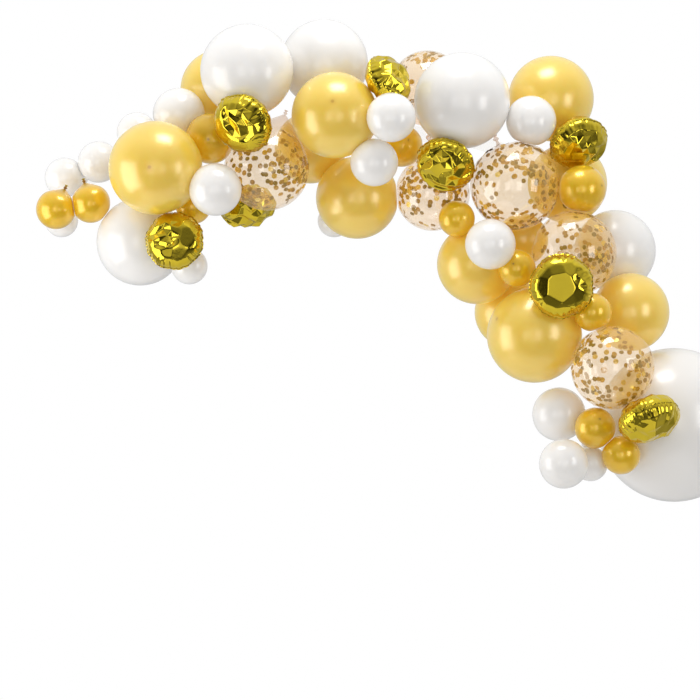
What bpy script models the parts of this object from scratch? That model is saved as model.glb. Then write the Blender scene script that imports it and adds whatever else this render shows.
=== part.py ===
"""Balloon garland arch: latex and foil balloons gathered along a punched plastic strip.

The strip hangs in the plane y = 0 and curves like the left and top of an arch with one leg.
Every balloon is in front of it, towards -Y, and the rows are built from the back to the front.
The origin is on the strip's back face, midway between the two hanging holes at the crown.
"""

import math

import bmesh
import bpy
from mathutils import Vector

# Strip, in metres
STRIP_WIDTH = 0.038
STRIP_THICKNESS = 0.0008
HOLE_RADIUS = 0.0065
HOLE_SIDES = 6
HOLE_PITCH = 0.064
SEAM_SHIFT = 0.010
END_ROUND_STEPS = 4
PATH_STEPS = 40
HANGING_PLACES = {"left": (-0.420, -0.040), "crown": (0.0, 0.0), "right": (0.585, -0.500)}

# Latex balloons, in metres
GIANT_DIAMETER = 0.385
NECK_RADIUS = 0.0032
KNOT_RADIUS = 0.0078
KNOT_LENGTH = 0.013
LONGEST_NECK_SHARE = 0.8
SHORTEST_NECK = 0.004
LOOSE_NECK = 0.014
TIE_DEGREES = 60.0
NOSE_DEGREES = 40.0
FACING_STEPS = 12
DEPTH_STEPS = 24
FIRST_TOUCH_SHARE = 0.5
LEAST_SLOPE_SHARE = 0.15
TAIL_TRIES = 4
TOUCHING_GAP = 0.0003
SQUASH_SHARE = 0.09
LARGE_BALLOON_RADIUS = 0.07
LARGE_SIDES, LARGE_LOOPS = 12, 7
SMALL_SIDES, SMALL_LOOPS = 10, 5
LAST_LOOP_DEGREES = 154.0
SNAP_DEGREES = 24.0

# Foil balloons: two round sheets sealed at the rim, as shares of the inflated radius
FOIL_THICKNESS_SHARE = 0.6
FOIL_SIDES = 14
FOIL_SCALLOP_SHARE = 0.955
FOIL_LOOP_SHARES = ((0.45, 0.90), (0.83, 0.58), (1.0, 0.0), (0.83, -0.58), (0.45, -0.90))

FINISHES = {
    "white": ("pearl_white_latex", (0.93, 0.92, 0.90), 0.24, 0.0),
    "pearl": ("pearl_gold_latex", (0.86, 0.64, 0.22), 0.26, 0.25),
    "deep": ("deep_gold_latex", (0.78, 0.48, 0.07), 0.26, 0.30),
    "clear": ("clear_confetti_latex", (0.93, 0.78, 0.60), 0.12, 0.0),
    "foil": ("gold_foil", (0.78, 0.66, 0.10), 0.10, 1.0),
    "strip": ("clear_strip_plastic", (0.85, 0.88, 0.88), 0.20, 0.0),
}

# The strip's centre line, from the left tip over the crown to the foot of the leg
WAY_POINTS = (
    (-0.700, -0.140),
    (-0.610, -0.104),
    (-0.520, -0.068),
    (-0.430, -0.042),
    (-0.330, -0.020),
    (-0.210, -0.006),
    (-0.085, 0.0),
    (0.0, 0.0),
    (0.085, 0.0),
    (0.230, -0.005),
    (0.375, -0.030),
    (0.490, -0.095),
    (0.555, -0.195),
    (0.577, -0.310),
    (0.582, -0.430),
    (0.605, -0.550),
    (0.650, -0.665),
    (0.700, -0.770),
)

# Each balloon, from the back row to the front: name, finish, x and z of its centre, diameter, and
# what else is known of it. "nose" is where its thick end shows, as shares of its radius to the
# right and up, "neck" is where a loose neck points and how far it reaches past the body, and
# "dome" is the way that a foil's face looks.
BALLOONS = (
    ("gold_back_left", "pearl", -0.303, 0.108, 0.198, {}),
    ("white_top_middle", "white", -0.040, 0.170, 0.220, {}),
    ("gold_back_middle", "pearl", -0.075, -0.040, 0.180, {}),
    ("clear_back_top", "clear", 0.220, 0.110, 0.190, {}),
    ("gold_shoulder", "pearl", 0.531, 0.083, 0.215, {}),
    ("gold_back_shoulder", "pearl", 0.573, -0.130, 0.200, {}),
    ("gold_back_core", "pearl", 0.455, -0.273, 0.125, {}),
    ("white_right", "white", 0.693, -0.300, 0.205, {}),
    ("gold_back_leg", "pearl", 0.430, -0.455, 0.182, {}),
    ("white_giant", "white", 0.838, -0.738, GIANT_DIAMETER, {}),
    ("white_low_left", "white", -0.501, -0.278, 0.220, {}),
    ("mini_white_tip", "white", -0.705, -0.113, 0.083, {}),
    ("mini_white_tip_low", "white", -0.703, -0.228, 0.075, {}),
    ("mini_white_left_a", "white", -0.610, -0.075, 0.105, {}),
    ("mini_white_left_b", "white", -0.510, -0.003, 0.093, {}),
    ("mini_white_left_c", "white", -0.405, 0.045, 0.123, {}),
    ("mini_white_low_left", "white", -0.379, -0.345, 0.083, {}),
    ("mini_gold_low_left", "deep", -0.365, -0.195, 0.080, {}),
    ("foil_low_middle", "foil", -0.235, -0.188, 0.150, {"dome": (0.10, -0.45, -0.89)}),
    ("mini_white_low_middle", "white", -0.015, -0.230, 0.075, {}),
    ("mini_white_foot_back", "white", 0.625, -0.838, 0.080, {"nose": (0.22, -0.75)}),
    ("mini_white_foot", "white", 0.545, -0.711, 0.128, {}),
    ("mini_gold_left", "deep", -0.325, -0.021, 0.120, {"nose": (-0.08, -0.06)}),
    ("white_top_left", "white", -0.233, 0.149, 0.230, {}),
    ("clear_left", "clear", -0.183, -0.095, 0.213, {"neck": (0.32, 0.95, 0.035)}),
    ("gold_low_middle", "pearl", 0.043, -0.168, 0.205, {}),
    ("gold_top_middle", "pearl", -0.013, 0.035, 0.215, {"nose": (-0.05, 0.29)}),
    ("mini_gold_middle", "deep", 0.155, -0.035, 0.105, {"nose": (0.33, 0.24)}),
    ("clear_back_middle", "clear", 0.233, -0.158, 0.185, {}),
    ("white_top_right", "white", 0.305, 0.073, 0.240, {}),
    ("gold_inner", "pearl", 0.343, -0.335, 0.200, {}),
    ("clear_right", "clear", 0.585, -0.308, 0.213, {}),
    ("gold_right", "pearl", 0.728, -0.455, 0.195, {}),
    ("gold_leg", "pearl", 0.485, -0.513, 0.237, {"nose": (-0.80, 0.34)}),
    ("mini_white_foot_low", "white", 0.556, -0.833, 0.121, {}),
    ("mini_gold_tip_outer", "deep", -0.714, -0.200, 0.096, {"neck": (0.40, 0.92, 0.009)}),
    ("mini_gold_tip_inner", "deep", -0.624, -0.185, 0.095, {"neck": (-0.30, 0.95, 0.008)}),
    ("clear_leg", "clear", 0.678, -0.594, 0.209, {}),
    ("gold_left", "pearl", -0.460, -0.096, 0.234, {"nose": (-0.10, -0.01)}),
    ("foil_top_left", "foil", -0.239, 0.013, 0.149, {"dome": (-0.45, -0.80, -0.40)}),
    ("clear_middle", "clear", 0.438, -0.138, 0.226, {"neck": (-0.38, 0.92, 0.007)}),
    ("foil_top_middle", "foil", 0.120, 0.120, 0.140, {"dome": (0.72, -0.50, 0.48)}),
    ("foil_middle", "foil", 0.261, -0.087, 0.148, {"dome": (-0.25, -0.80, -0.55)}),
    ("mini_white_middle", "white", 0.085, -0.085, 0.113, {}),
    ("foil_shoulder", "foil", 0.598, -0.031, 0.148, {"dome": (0.30, -0.70, -0.65)}),
    ("mini_gold_shoulder", "deep", 0.607, -0.146, 0.116, {"nose": (0.80, 0.13)}),
    ("mini_white_shoulder", "white", 0.479, 0.024, 0.121, {}),
    ("mini_gold_inner", "deep", 0.291, -0.223, 0.089, {}),
    ("mini_gold_core", "deep", 0.440, -0.345, 0.090, {"nose": (-0.22, 0.22)}),
    ("mini_white_inner", "white", 0.373, -0.288, 0.123, {}),
    ("mini_gold_leg", "deep", 0.628, -0.455, 0.088, {}),
    ("mini_gold_foot_low", "deep", 0.699, -0.810, 0.093, {}),
    ("mini_gold_foot", "deep", 0.635, -0.743, 0.100, {"nose": (0.20, 0.45)}),
    ("foil_low_left", "foil", -0.413, -0.280, 0.149, {"dome": (-0.15, -0.97, 0.18)}),
    ("mini_white_left_front", "white", -0.309, -0.153, 0.125, {}),
    ("mini_white_crown", "white", 0.127, 0.027, 0.120, {}),
    ("foil_leg", "foil", 0.551, -0.390, 0.163, {"dome": (-0.08, -0.98, -0.05)}),
    ("foil_foot", "foil", 0.768, -0.720, 0.160, {"dome": (0.33, -0.42, -0.85)}),
)


class Balloon:
    """One balloon's size, place and neighbours, worked out before its mesh is made."""

    def __init__(self, name, finish, x, z, diameter, known):
        self.name = name
        self.finish = finish
        self.radius = diameter / 2
        self.centre = Vector((x, 0.0, z))
        self.known = known
        self.dome = Vector(known.get("dome", (0.0, -1.0, 0.0))).normalized()
        self.hole = None
        self.axis = Vector((0.0, -1.0, 0.0))
        self.neck_length = 0.0
        self.planes = []
        self.contacts = []

    def support(self, direction):
        """The body's furthest point along a unit direction, from its centre."""
        if self.finish != "foil":
            return direction * self.radius
        along = direction.dot(self.dome)
        thin = FOIL_THICKNESS_SHARE ** 2
        stretched = direction + self.dome * along * (thin - 1.0)
        return stretched * self.radius / math.sqrt(1.0 - along * along * (1.0 - thin))

    def reach(self, direction):
        """How far the body reaches along a unit direction."""
        return self.support(direction).dot(direction)


def squash(one, other):
    """How far two balloons press into each other where they touch."""
    return SQUASH_SHARE * min(one.radius, other.radius)


def facing_direction(one, other):
    """The direction from one body to the other, square to both where they face each other."""
    line = other.centre - one.centre
    direction = line.normalized()
    if one.finish != "foil" and other.finish != "foil":
        return direction
    for _ in range(FACING_STEPS):
        apart = line - one.support(direction) + other.support(-direction)
        sideways = apart - direction * apart.dot(direction)
        direction = (direction + sideways / line.length).normalized()
    return direction


def gap_between(one, other, direction):
    """The free length between two bodies along a direction: below zero, they press together."""
    apart = (other.centre - one.centre).dot(direction)
    return apart - one.reach(direction) - other.reach(-direction)


def depth_touching(balloon, other):
    """The y at which the balloon touches the other from the front, squashed as much as it may."""
    near, far = other.centre.y, other.centre.y - 2 * (balloon.radius + other.radius)
    for _ in range(DEPTH_STEPS):
        balloon.centre.y = (near + far) / 2
        direction = facing_direction(balloon, other)
        if gap_between(balloon, other, direction) < -squash(balloon, other):
            near = balloon.centre.y
        else:
            far = balloon.centre.y
    return far


def settle(balloons):
    """Gives each balloon its depth: back against the wall side, or against what is already there."""
    placed = []
    for balloon in balloons:
        depth = -STRIP_THICKNESS - balloon.reach(Vector((0, 1, 0))) * (1 - SQUASH_SHARE)
        for other in placed:
            balloon.centre.y = other.centre.y
            if (balloon.centre - other.centre).length < balloon.radius + other.radius:
                depth = min(depth, depth_touching(balloon, other))
        balloon.centre.y = depth
        placed.append(balloon)


def pressing(one, other):
    """Whether two balloons press against each other."""
    if (other.centre - one.centre).length > one.radius + other.radius:
        return False
    return gap_between(one, other, facing_direction(one, other)) < 0


def groups_in_contact(balloons):
    """The balloons in groups, each held together by its own contacts."""
    groups = []
    for balloon in balloons:
        touching = [group for group in groups if any(pressing(balloon, one) for one in group)]
        groups = [group for group in groups if group not in touching]
        groups.append([balloon] + [one for group in touching for one in group])
    return groups


def forward_room(balloon, other):
    """How far a balloon can move forward before it presses on the other as much as it may."""
    start = balloon.centre.y
    across = math.hypot(other.centre.x - balloon.centre.x, other.centre.z - balloon.centre.z)
    if across > balloon.radius + other.radius or other.centre.y > start:
        return math.inf
    clear, blocked = 0.0, start - other.centre.y
    for _ in range(DEPTH_STEPS):
        move = (clear + blocked) / 2
        balloon.centre.y = start - move
        gap = gap_between(balloon, other, facing_direction(balloon, other))
        if gap < -squash(balloon, other) * FIRST_TOUCH_SHARE:
            blocked = move
        else:
            clear = move
    balloon.centre.y = start
    return clear if blocked < start - other.centre.y else math.inf


def draw_together(balloons):
    """Moves each group that isn't tied forward until it presses on a balloon of another group."""
    while True:
        moves = []
        for group in groups_in_contact(balloons):
            if any(balloon.hole is not None for balloon in group):
                continue
            others = [other for other in balloons if other not in group]
            room = min(forward_room(one, other) for one in group for other in others)
            moves.append((room, group))
        room, group = min(moves, key=lambda move: move[0], default=(math.inf, []))
        if room == math.inf:
            return
        for one in group:
            one.centre.y -= room


def curve_point(points, position):
    """A point on the smooth curve through all the points, at a position counted in points."""
    i = min(int(position), len(points) - 2)
    t = position - i
    a, b, c, d = (Vector(points[max(0, min(k, len(points) - 1))]) for k in range(i - 1, i + 3))
    return 0.5 * (2 * b + (c - a) * t + (2 * a - 5 * b + 4 * c - d) * t * t
                  + (3 * b - 3 * c + d - a) * t * t * t)


class StripPath:
    """The strip's centre line, measured along its length from the origin at the crown."""

    def __init__(self):
        last = len(WAY_POINTS) - 1
        steps = PATH_STEPS * last
        self.points = [curve_point(WAY_POINTS, last * i / steps) for i in range(steps + 1)]
        self.lengths = [0.0]
        for a, b in zip(self.points, self.points[1:]):
            self.lengths.append(self.lengths[-1] + (b - a).length)
        crown = WAY_POINTS.index((0.0, 0.0)) * PATH_STEPS
        zero = self.lengths[crown]
        self.lengths = [length - zero for length in self.lengths]

    def at(self, length):
        """The point at this length, and the direction along the strip there, in x and z."""
        k = 0
        while k < len(self.lengths) - 2 and self.lengths[k + 1] < length:
            k += 1
        a, b = self.points[k], self.points[k + 1]
        share = (length - self.lengths[k]) / (self.lengths[k + 1] - self.lengths[k])
        return a + (b - a) * share, (b - a).normalized()

    def lay(self, length, across, y=0.0):
        """A point on the strip: so far along it, so far to its outer side, at a depth y."""
        point, along = self.at(length)
        return Vector((point.x - along.y * across, y, point.y + along.x * across))

    def hole_lengths(self):
        """Holes at one pitch, the nearest two half a pitch from the origin."""
        before = int(-self.lengths[0] / HOLE_PITCH)
        after = int(self.lengths[-1] / HOLE_PITCH)
        return [(k + 0.5) * HOLE_PITCH for k in range(-before, after)]


def hanging_lengths(path):
    """Where the strip is hung from: midway between two holes, nearest to each hanging place."""
    holes = path.hole_lengths()
    middles = [(a + b) / 2 for a, b in zip(holes, holes[1:])]
    found = {}
    for name, (x, z) in HANGING_PLACES.items():
        place = Vector((x, 0.0, z))
        found[name] = min(middles, key=lambda length: (path.lay(length, 0.0) - place).length)
    return found


def closest_on_segment(point, start, end):
    line = end - start
    share = max(0.0, min(1.0, (point - start).dot(line) / line.length_squared))
    return start + line * share


def path_is_free(balloon, tail, hole, balloons):
    """Whether a neck from the tail to the hole keeps out of every other body."""
    for other in balloons:
        if other is balloon:
            continue
        nearest = closest_on_segment(other.centre, tail, hole)
        if (nearest - other.centre).length < other.radius + NECK_RADIUS:
            return False
    return True


def tie_to_strip(balloons, path):
    """Leads the neck of each balloon that can reach the strip to the nearest free hole."""
    hung = hanging_lengths(path).values()
    free = [path.lay(length, 0.0) for length in path.hole_lengths()
            if all(abs(length - place) > HOLE_PITCH * 0.6 for place in hung)]
    for balloon in balloons:
        if balloon.finish == "foil" or "neck" in balloon.known:
            continue
        free.sort(key=lambda hole: (hole - balloon.centre).length)
        for hole in free:
            line = balloon.centre - hole
            axis = line.normalized()
            if line.length > balloon.radius * (1 + LONGEST_NECK_SHARE):
                break
            if axis.dot(seen_nose(balloon) or axis) < math.cos(math.radians(TIE_DEGREES)):
                continue
            if line.length < balloon.radius and axis.y > -LEAST_SLOPE_SHARE:
                continue
            tail = balloon.centre - axis * min(balloon.radius, line.length)
            if path_is_free(balloon, tail, hole, balloons):
                balloon.hole = hole
                balloon.axis = axis
                free.remove(hole)
                break


def seen_nose(balloon):
    """The direction of the nose where it is known."""
    if "nose" not in balloon.known:
        return None
    across, up = balloon.known["nose"]
    return Vector((across, -math.sqrt(1 - across ** 2 - up ** 2), up))


def loose_tails(balloon, path):
    """Directions that the neck of a loose balloon may take, the likeliest first."""
    steps = range(-TAIL_TRIES, TAIL_TRIES + 1)
    tries = [Vector((a, b, c)).normalized() for a in steps for b in steps for c in steps
             if (a, b, c) != (0, 0, 0)]
    if seen_nose(balloon) is not None:
        wanted = -seen_nose(balloon)
        least = math.cos(math.radians(NOSE_DEGREES))
        tries = [tail for tail in tries if tail.dot(wanted) > least]
    else:
        places = [path.lay(length, 0.0) for length in path.hole_lengths()]
        wanted = (min(places, key=lambda place: (place - balloon.centre).length)
                  - balloon.centre).normalized()
        tries = [tail for tail in tries if tail.y > LEAST_SLOPE_SHARE]
    tries.sort(key=lambda tail: (-round(tail.dot(wanted), 4), tuple(tail)))
    return [wanted] + tries


def point_loose_necks(balloons, path):
    """Finds a way for each loose neck that stays clear of every neighbour."""
    for balloon in balloons:
        if balloon.hole is not None or balloon.finish == "foil" or "neck" in balloon.known:
            continue
        tails = loose_tails(balloon, path)
        balloon.axis = -tails[0]
        for tail in tails:
            room = free_room(balloon, tail)
            if room > SHORTEST_NECK + KNOT_LENGTH:
                balloon.axis = -tail
                balloon.neck_length = min(LOOSE_NECK, room - KNOT_LENGTH)
                break


def neck_end(balloon):
    """Where the neck's centre line stops in front of the strip, or past the body."""
    if balloon.hole is not None:
        return balloon.hole.copy()
    return balloon.centre - balloon.axis * (balloon.radius + balloon.neck_length + KNOT_LENGTH)


def add_contact(balloon, normal, height):
    """Keeps a body inside a plane, and notes the point where it meets it if it is pressed flat."""
    balloon.planes.append((normal, height))
    furthest = balloon.support(normal)
    if furthest.dot(normal) > height:
        balloon.contacts.append(furthest - normal * (furthest.dot(normal) - height))


def find_planes(balloons):
    """The flat planes that each body stays inside: halfway into every contact with a neighbour."""
    neck_room = 2 * (LOOSE_NECK + KNOT_LENGTH)
    for i, one in enumerate(balloons):
        for other in balloons[i + 1:]:
            if (other.centre - one.centre).length > one.radius + other.radius + neck_room:
                continue
            direction = facing_direction(one, other)
            gap = gap_between(one, other, direction)
            one_reach, other_reach = one.reach(direction), other.reach(-direction)
            one_share = other_reach / (one_reach + other_reach) if gap < 0 else 0.5
            one_height = one_reach + gap * one_share - TOUCHING_GAP / 2
            add_contact(one, direction, one_height)
            add_contact(other, -direction, other_reach + gap * (1 - one_share) - TOUCHING_GAP / 2)
    for balloon in balloons:
        to_strip = -balloon.centre.y - STRIP_THICKNESS - TOUCHING_GAP
        add_contact(balloon, Vector((0.0, 1.0, 0.0)), to_strip)
        for other in balloons:
            if other is balloon or (other.hole is None and "neck" not in other.known):
                continue
            start = other.centre - other.axis * other.radius * 0.9
            nearest = closest_on_segment(balloon.centre, start, neck_end(other))
            line = nearest - balloon.centre
            balloon.planes.append((line.normalized(), line.length - KNOT_RADIUS - TOUCHING_GAP))


def free_room(balloon, tail):
    """The room past the body for a neck and knot before they meet a neighbour."""
    room = [(height - KNOT_RADIUS) / tail.dot(normal) for normal, height in balloon.planes
            if tail.dot(normal) > 0.02]
    return min(room, default=1.0) - balloon.radius


def held_inside(balloon, offset):
    """A point at an offset from the centre, pulled in to every plane that it would cross."""
    share = 1.0
    for normal, height in balloon.planes:
        facing = offset.dot(normal)
        if facing > height:
            share = min(share, height / facing)
    return balloon.centre + offset * share


def snapped(offsets, contacts):
    """Moves the nearest point of the mesh onto each contact, so that neighbours truly touch."""
    limit = math.cos(math.radians(SNAP_DEGREES))
    taken = set()
    for contact in contacts:
        direction = contact.normalized()
        best = max((k for k in range(len(offsets)) if k not in taken),
                   key=lambda k: offsets[k].normalized().dot(direction))
        if offsets[best].normalized().dot(direction) > limit:
            offsets[best] = contact.copy()
            taken.add(best)
    return offsets


def across_axes(axis):
    """Two unit vectors square to an axis and to each other."""
    side = axis.orthogonal().normalized()
    return side, axis.cross(side)


def add_loop(bm, points):
    return [bm.verts.new(point) for point in points]


def join_loops(bm, one, other):
    """Faces between two closed loops, the second with as many points or half as many."""
    count = len(one)
    if len(other) == count:
        for i in range(count):
            j = (i + 1) % count
            bm.faces.new((one[i], one[j], other[j], other[i]))
        return
    for i in range(len(other)):
        a, b, c = one[2 * i], one[2 * i + 1], one[(2 * i + 2) % count]
        near, far = other[i], other[(i + 1) % len(other)]
        bm.faces.new((a, b, near))
        bm.faces.new((b, far, near))
        bm.faces.new((b, c, far))


def close_loop(bm, loop, point, outward):
    """A fan of faces from a loop to a single point."""
    tip = bm.verts.new(point)
    for i in range(len(loop)):
        pair = (loop[i], loop[(i + 1) % len(loop)])
        bm.faces.new((*pair, tip) if outward else (pair[1], pair[0], tip))


def ring(centre, side, other_side, radius, count):
    return [centre + (side * math.cos(math.tau * k / count)
                      + other_side * math.sin(math.tau * k / count)) * radius
            for k in range(count)]


def tied_neck(balloon, side, other_side, count):
    """Neck loops through the strip's hole and the knot behind it."""
    hole, back = balloon.hole, Vector((0.0, 1.0, 0.0))
    side = (side - back * side.dot(back)).normalized()
    other_side = -side.cross(back) if other_side.dot(side.cross(back)) < 0 else side.cross(back)
    stations = ((-STRIP_THICKNESS - 0.0015, NECK_RADIUS), (TOUCHING_GAP, NECK_RADIUS),
                (KNOT_LENGTH * 0.45, KNOT_RADIUS))
    loops = [ring(hole + back * y, side, other_side, radius, count) for y, radius in stations]
    return loops, hole + back * KNOT_LENGTH


def loose_neck(balloon, side, other_side, count):
    """Neck loops that end in a knot in the open."""
    tail = -balloon.axis
    base = balloon.centre + tail * balloon.radius
    stations = ((balloon.neck_length, NECK_RADIUS),
                (balloon.neck_length + KNOT_LENGTH * 0.5, KNOT_RADIUS))
    loops = [ring(base + tail * along, side, other_side, radius, count)
             for along, radius in stations]
    return loops, base + tail * (balloon.neck_length + KNOT_LENGTH)


def latex_mesh(balloon):
    """A round body turned about its axis, pressed flat at its contacts, with a neck and knot."""
    large = balloon.radius > LARGE_BALLOON_RADIUS
    sides = LARGE_SIDES if large else SMALL_SIDES
    loop_count = LARGE_LOOPS if large else SMALL_LOOPS
    side, other_side = across_axes(balloon.axis)
    reach = balloon.radius / math.sqrt(math.cos(math.pi / sides))
    offsets = [balloon.axis * reach]
    for i in range(loop_count):
        polar = math.radians(LAST_LOOP_DEGREES * (i + 1) / loop_count)
        middle = balloon.axis * reach * math.cos(polar)
        offsets += ring(middle, side, other_side, reach * math.sin(polar), sides)
    offsets.append(-balloon.axis * reach)
    points = [held_inside(balloon, offset) for offset in snapped(offsets, balloon.contacts)]
    bm = bmesh.new()
    loops = [add_loop(bm, points[1 + i * sides:1 + (i + 1) * sides]) for i in range(loop_count)]
    close_loop(bm, loops[0], points[0], False)
    for one, other in zip(loops, loops[1:]):
        join_loops(bm, one, other)
    if balloon.hole is None and balloon.neck_length == 0.0:
        close_loop(bm, loops[-1], points[-1], True)
        return bm
    make_neck = tied_neck if balloon.hole is not None else loose_neck
    neck_loops, end = make_neck(balloon, side, other_side, sides // 2)
    for neck_points in neck_loops:
        loops.append(add_loop(bm, neck_points))
        join_loops(bm, loops[-2], loops[-1])
    close_loop(bm, loops[-1], end, True)
    return bm


def foil_mesh(balloon):
    """Two domes that meet at a crimped rim."""
    side, other_side = across_axes(balloon.dome)
    top = balloon.dome * balloon.radius * FOIL_THICKNESS_SHARE
    offsets = [top]
    for across, along in FOIL_LOOP_SHARES:
        middle = top * along
        offsets += ring(middle, side, other_side, balloon.radius * across, FOIL_SIDES)
    offsets.append(-top)
    rim = 1 + FOIL_SIDES * (len(FOIL_LOOP_SHARES) // 2)
    for k in range(rim + 1, rim + FOIL_SIDES, 2):
        offsets[k] = offsets[k] * FOIL_SCALLOP_SHARE
    points = [held_inside(balloon, offset) for offset in snapped(offsets, balloon.contacts)]
    bm = bmesh.new()
    loops = [add_loop(bm, points[1 + i * FOIL_SIDES:1 + (i + 1) * FOIL_SIDES])
             for i in range(len(FOIL_LOOP_SHARES))]
    close_loop(bm, loops[0], points[0], False)
    for one, other in zip(loops, loops[1:]):
        join_loops(bm, one, other)
    close_loop(bm, loops[-1], points[-1], True)
    return bm


def strip_mesh(path):
    """The flat strip with its row of holes and two round ends."""
    bm = bmesh.new()
    half = STRIP_WIDTH / 2
    holes = path.hole_lengths()
    edges = [length + SEAM_SHIFT - HOLE_PITCH / 2 for length in holes]
    edges.append(holes[-1] + SEAM_SHIFT + HOLE_PITCH / 2)
    pairs = [(bm.verts.new(path.lay(length, half)), bm.verts.new(path.lay(length, -half)))
             for length in edges]
    for length, (outer_a, inner_a), (outer_b, inner_b) in zip(holes, pairs, pairs[1:]):
        hole = []
        for k in range(HOLE_SIDES):
            angle = math.tau * (k + 0.5) / HOLE_SIDES
            hole.append(bm.verts.new(path.lay(length + HOLE_RADIUS * math.cos(angle),
                                              HOLE_RADIUS * math.sin(angle))))
        right, top_right, top_left, left, low_left, low_right = hole[5], hole[0], hole[1], \
            hole[2], hole[3], hole[4]
        bm.faces.new((outer_a, outer_b, top_right, top_left))
        bm.faces.new((inner_b, inner_a, low_left, low_right))
        bm.faces.new((outer_b, inner_b, right, top_right))
        bm.faces.new((inner_a, outer_a, left, low_left))
        bm.faces.new((top_left, left, outer_a))
        bm.faces.new((low_right, right, inner_b))
    for (outer, inner), length, way in ((pairs[0], edges[0], -1), (pairs[-1], edges[-1], 1)):
        arc = []
        for k in range(1, END_ROUND_STEPS):
            angle = math.pi / 2 - math.pi * k / END_ROUND_STEPS
            along = way * half * math.cos(angle)
            point, direction = path.at(length)
            middle = path.lay(length, half * math.sin(angle))
            arc.append(bm.verts.new(middle + Vector((direction.x, 0.0, direction.y)) * along))
        bm.faces.new((outer, *arc, inner))
    flat = list(bm.faces)
    raised = bmesh.ops.extrude_face_region(bm, geom=flat)
    moved = [item for item in raised["geom"] if isinstance(item, bmesh.types.BMVert)]
    bmesh.ops.translate(bm, verts=moved, vec=(0.0, -STRIP_THICKNESS, 0.0))
    return bm


def material(finish):
    """One material for each finish, made the first time that it is asked for."""
    name, colour, roughness, metallic = FINISHES[finish]
    found = bpy.data.materials.get(name)
    if found:
        return found
    made = bpy.data.materials.new(name)
    made.use_nodes = True
    shader = made.node_tree.nodes["Principled BSDF"]
    shader.inputs["Base Color"].default_value = (*colour, 1.0)
    shader.inputs["Roughness"].default_value = roughness
    shader.inputs["Metallic"].default_value = metallic
    return made


def add_object(name, bm, finish, origin, parent):
    """A named object with its origin at its own centre."""
    bmesh.ops.recalc_face_normals(bm, faces=bm.faces)
    bmesh.ops.translate(bm, verts=bm.verts, vec=-origin)
    mesh = bpy.data.meshes.new(name)
    bm.to_mesh(mesh)
    bm.free()
    mesh.materials.append(material(finish))
    if finish != "strip":
        mesh.shade_smooth()
    made = bpy.data.objects.new(name, mesh)
    made.location = origin
    made.parent = parent
    bpy.context.scene.collection.objects.link(made)
    return made


def main():
    for old in list(bpy.data.objects):
        bpy.data.objects.remove(old)
    arch = bpy.data.objects.new("balloon_arch", None)
    bpy.context.scene.collection.objects.link(arch)
    path = StripPath()
    balloons = [Balloon(*row) for row in BALLOONS]
    settle(balloons)
    for balloon in balloons:
        if "neck" in balloon.known:
            across, up, balloon.neck_length = balloon.known["neck"]
            balloon.axis = -Vector((across, 0.12, up)).normalized()
    tie_to_strip(balloons, path)
    draw_together(balloons)
    find_planes(balloons)
    point_loose_necks(balloons, path)
    for balloon in balloons:
        bm = foil_mesh(balloon) if balloon.finish == "foil" else latex_mesh(balloon)
        add_object(balloon.name, bm, balloon.finish, balloon.centre, arch)
    add_object("strip", strip_mesh(path), "strip", Vector((0.0, 0.0, 0.0)), arch)


main()
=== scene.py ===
"""Looks of the balloon garland arch: latex, confetti and foil balloons on their strip."""

import math

import bmesh
import bpy
import numpy as np
from bpy.props import FloatProperty, FloatVectorProperty, IntProperty, PointerProperty
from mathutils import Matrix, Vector
from mathutils.geometry import delaunay_2d_cdt


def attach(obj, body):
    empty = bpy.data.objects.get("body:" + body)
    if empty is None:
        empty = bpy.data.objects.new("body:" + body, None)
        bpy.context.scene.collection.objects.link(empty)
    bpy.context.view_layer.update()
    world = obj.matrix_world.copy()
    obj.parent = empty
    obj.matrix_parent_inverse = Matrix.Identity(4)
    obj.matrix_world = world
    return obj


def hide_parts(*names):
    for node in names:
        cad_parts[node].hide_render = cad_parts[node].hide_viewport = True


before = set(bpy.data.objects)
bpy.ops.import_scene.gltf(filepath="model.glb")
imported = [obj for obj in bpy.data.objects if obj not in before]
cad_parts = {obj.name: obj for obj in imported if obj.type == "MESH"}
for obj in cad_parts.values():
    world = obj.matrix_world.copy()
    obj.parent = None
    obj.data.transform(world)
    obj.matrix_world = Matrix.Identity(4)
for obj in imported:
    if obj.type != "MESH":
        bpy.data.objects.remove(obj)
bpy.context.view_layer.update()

bl_info = {
    "name": "Balloon garland arch",
    "version": (1, 0, 0),
    "blender": (4, 5, 0),
    "location": "View3D > Sidebar > Garland",
    "description": "Dresses the packed balloon garland with latex, confetti and foil",
    "category": "Object",
}

# What the part's own pieces measure, in metres
STRIP_THICKNESS = 0.0008
NECK_RADIUS = 0.0032
KNOT_RADIUS = 0.0074
KNOT_LENGTH = 0.013
LARGE_BALLOON_RADIUS = 0.07

# The room left between two skins, and how softly a sheet turns where it is pressed flat
SKIN_GAP = 0.0004
LATEX_SOFTNESS = 0.0012
FOIL_SOFTNESS = 0.0003

# Fitting a sphere to a latex solid: the rounds, the share and least number of corners on the
# round body, and the body's radius as a share of theirs
FIT_ROUNDS = 30
FIT_SHARE = 0.55
FIT_LEAST = 12
LARGE_ROUND_SHARE = 0.985
SMALL_ROUND_SHARE = 0.977

# Fitting a foil balloon: the rounds, and how many of the outermost corners give its radius
FOIL_FIT_ROUNDS = 4
FOIL_RIM_CORNERS = 4

# A neck that ends further back than this goes through the strip
THROUGH_STRIP = 0.005

# Rounds that find how a foil balloon faces its neighbour
FACING_ROUNDS = 12

# Where the straight line of a neck begins, and how near it has to pass, as shares of a radius
NECK_ROOT_SHARE = 0.9
NECK_NEAR_SHARE = 1.02

# Planes that face a point less than this don't press it
LEAST_FACING = 0.05
NO_LIMIT = 10.0
EXPONENT_LIMIT = 60

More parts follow.
